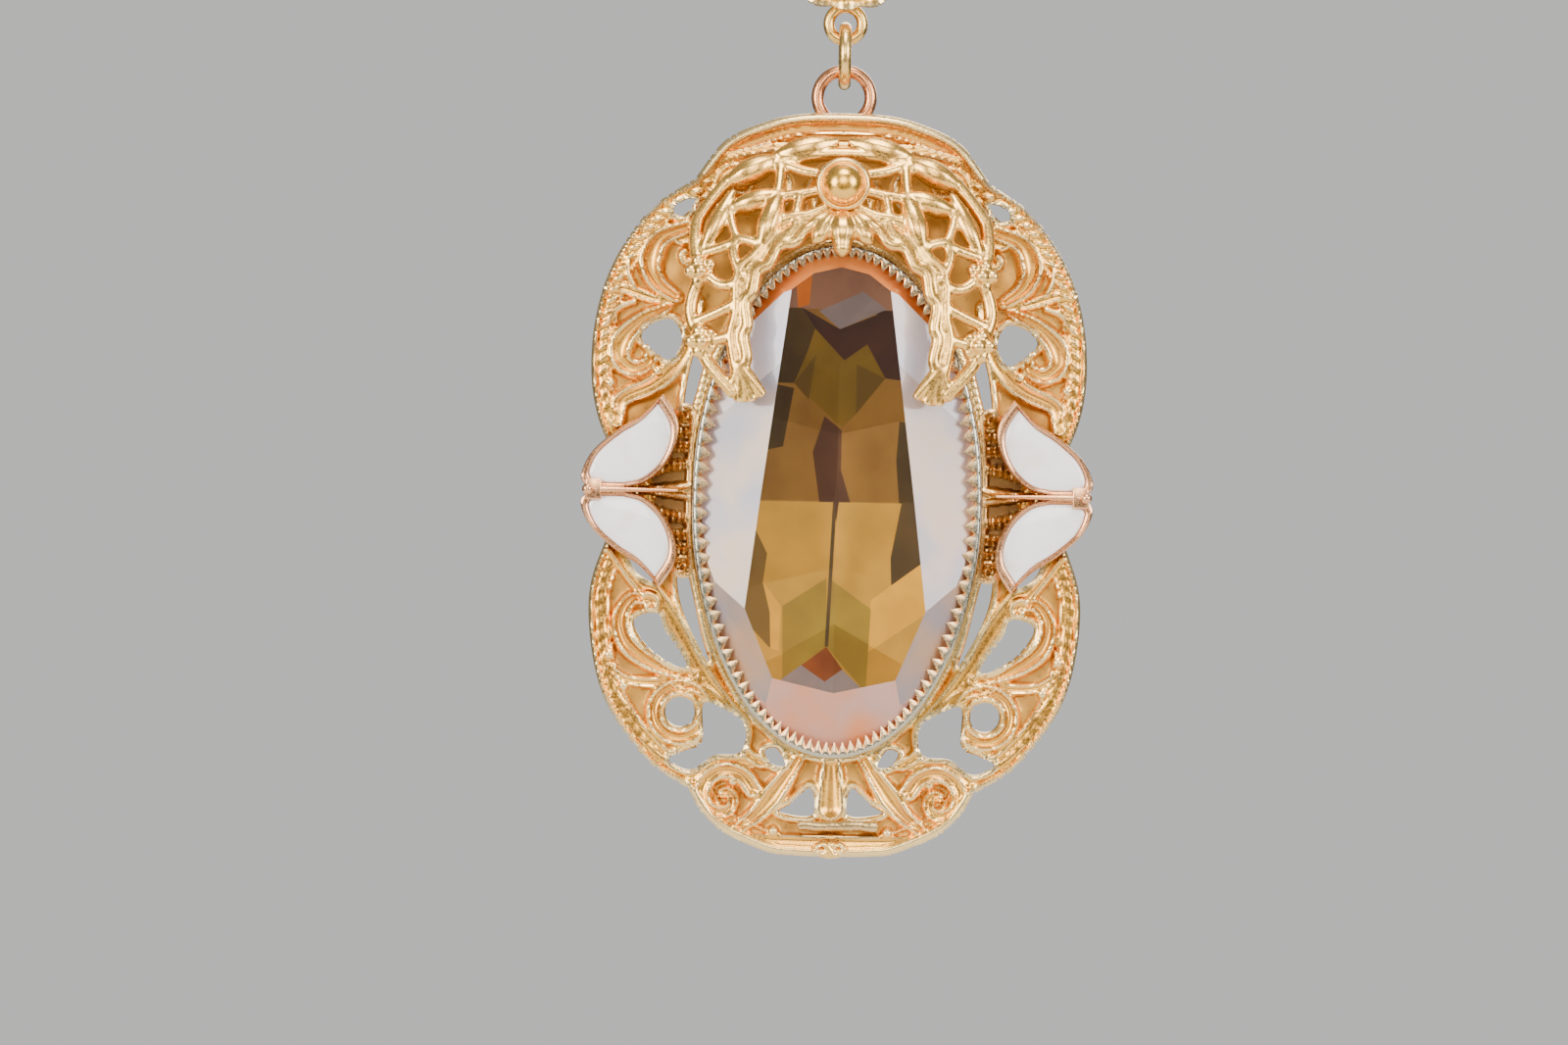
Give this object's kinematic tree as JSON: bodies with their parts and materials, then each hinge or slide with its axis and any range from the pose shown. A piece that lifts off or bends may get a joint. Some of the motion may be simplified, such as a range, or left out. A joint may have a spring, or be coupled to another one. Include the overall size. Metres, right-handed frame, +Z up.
{
  "type": "pendant necklace",
  "caption": "Long openwork gilt pendant with a faceted amber oval glass stone under a pierced hood, white enamel leaves, on a jump ring and shell link",
  "frame": {"origin": "the hanging point, midway between the axes of the two chain holes in the shell link, in the plane of the soldered rings", "axes": "+Z up along the hanging pendant, +X to the wearer's left seen from the front as right, -Y the way the stone faces"},
  "size_m": [0.0412, 0.0122, 0.0785],
  "materials": {
    "frame_gilt": "stamped and cast gilt brass with pale highlights and grey tarnish in the hollows",
    "dark_gilt": "antiqued gilt brass, dark in the recesses",
    "pale_gilt": "pale polished gilt brass",
    "yellow_gilt": "bright yellow gilt",
    "copper_gilt": "coppery rose gilt, worn",
    "bezel_gilt": "greenish silver gilt with copper showing on the teeth",
    "cup_gilt": "gilt brass sheet",
    "solder": "dull grey silvery solder",
    "enamel": "glossy white enamel with a faint tan stain",
    "stone_glass": "faceted amber glass with a lilac-white sheen on the sloping facets"
  },
  "bodies": {
    "link": {"shell_link": "yellow_gilt", "link_loop": "yellow_gilt"},
    "jump_ring": {"jump_ring": "yellow_gilt"},
    "pendant": {"frame_plate": "frame_gilt", "waist_fan_left": "dark_gilt", "waist_fan_right": "dark_gilt", "stone": "stone_glass", "cup_plate": "cup_gilt", "stone_seat": "cup_gilt", "bezel_band": "bezel_gilt", "crown_hood": "pale_gilt", "crown_side_posts": "pale_gilt", "crown_stud": "pale_gilt", "boss_collar": "pale_gilt", "boss_dome": "pale_gilt", "palmette": "pale_gilt", "leaf_rivets": "copper_gilt", "leaf_clasp_left": "copper_gilt", "leaf_clasp_right": "copper_gilt", "mend_bar": "solder", "drop_lug": "pale_gilt", "frame_ring": "copper_gilt", "ring_solder": "solder", "leaf_cell_upper_right": "copper_gilt", "leaf_enamel_upper_right": "enamel", "leaf_cell_upper_left": "copper_gilt", "leaf_enamel_upper_left": "enamel", "leaf_cell_lower_right": "copper_gilt", "leaf_enamel_lower_right": "enamel", "leaf_cell_lower_left": "copper_gilt", "leaf_enamel_lower_left": "enamel"}
  },
  "joints": [
    {"name": "ring_swing", "type": "hinge", "parent": "link", "child": "jump_ring", "pos_m": [0, 0, -0.011], "axis": [1, 0, 0], "range_deg": [-60, 60]},
    {"name": "pendant_swing", "type": "hinge", "parent": "jump_ring", "child": "pendant", "pos_m": [0, 0, -0.0145], "axis": [0, 1, 0], "range_deg": [-40, 40]}
  ]
}
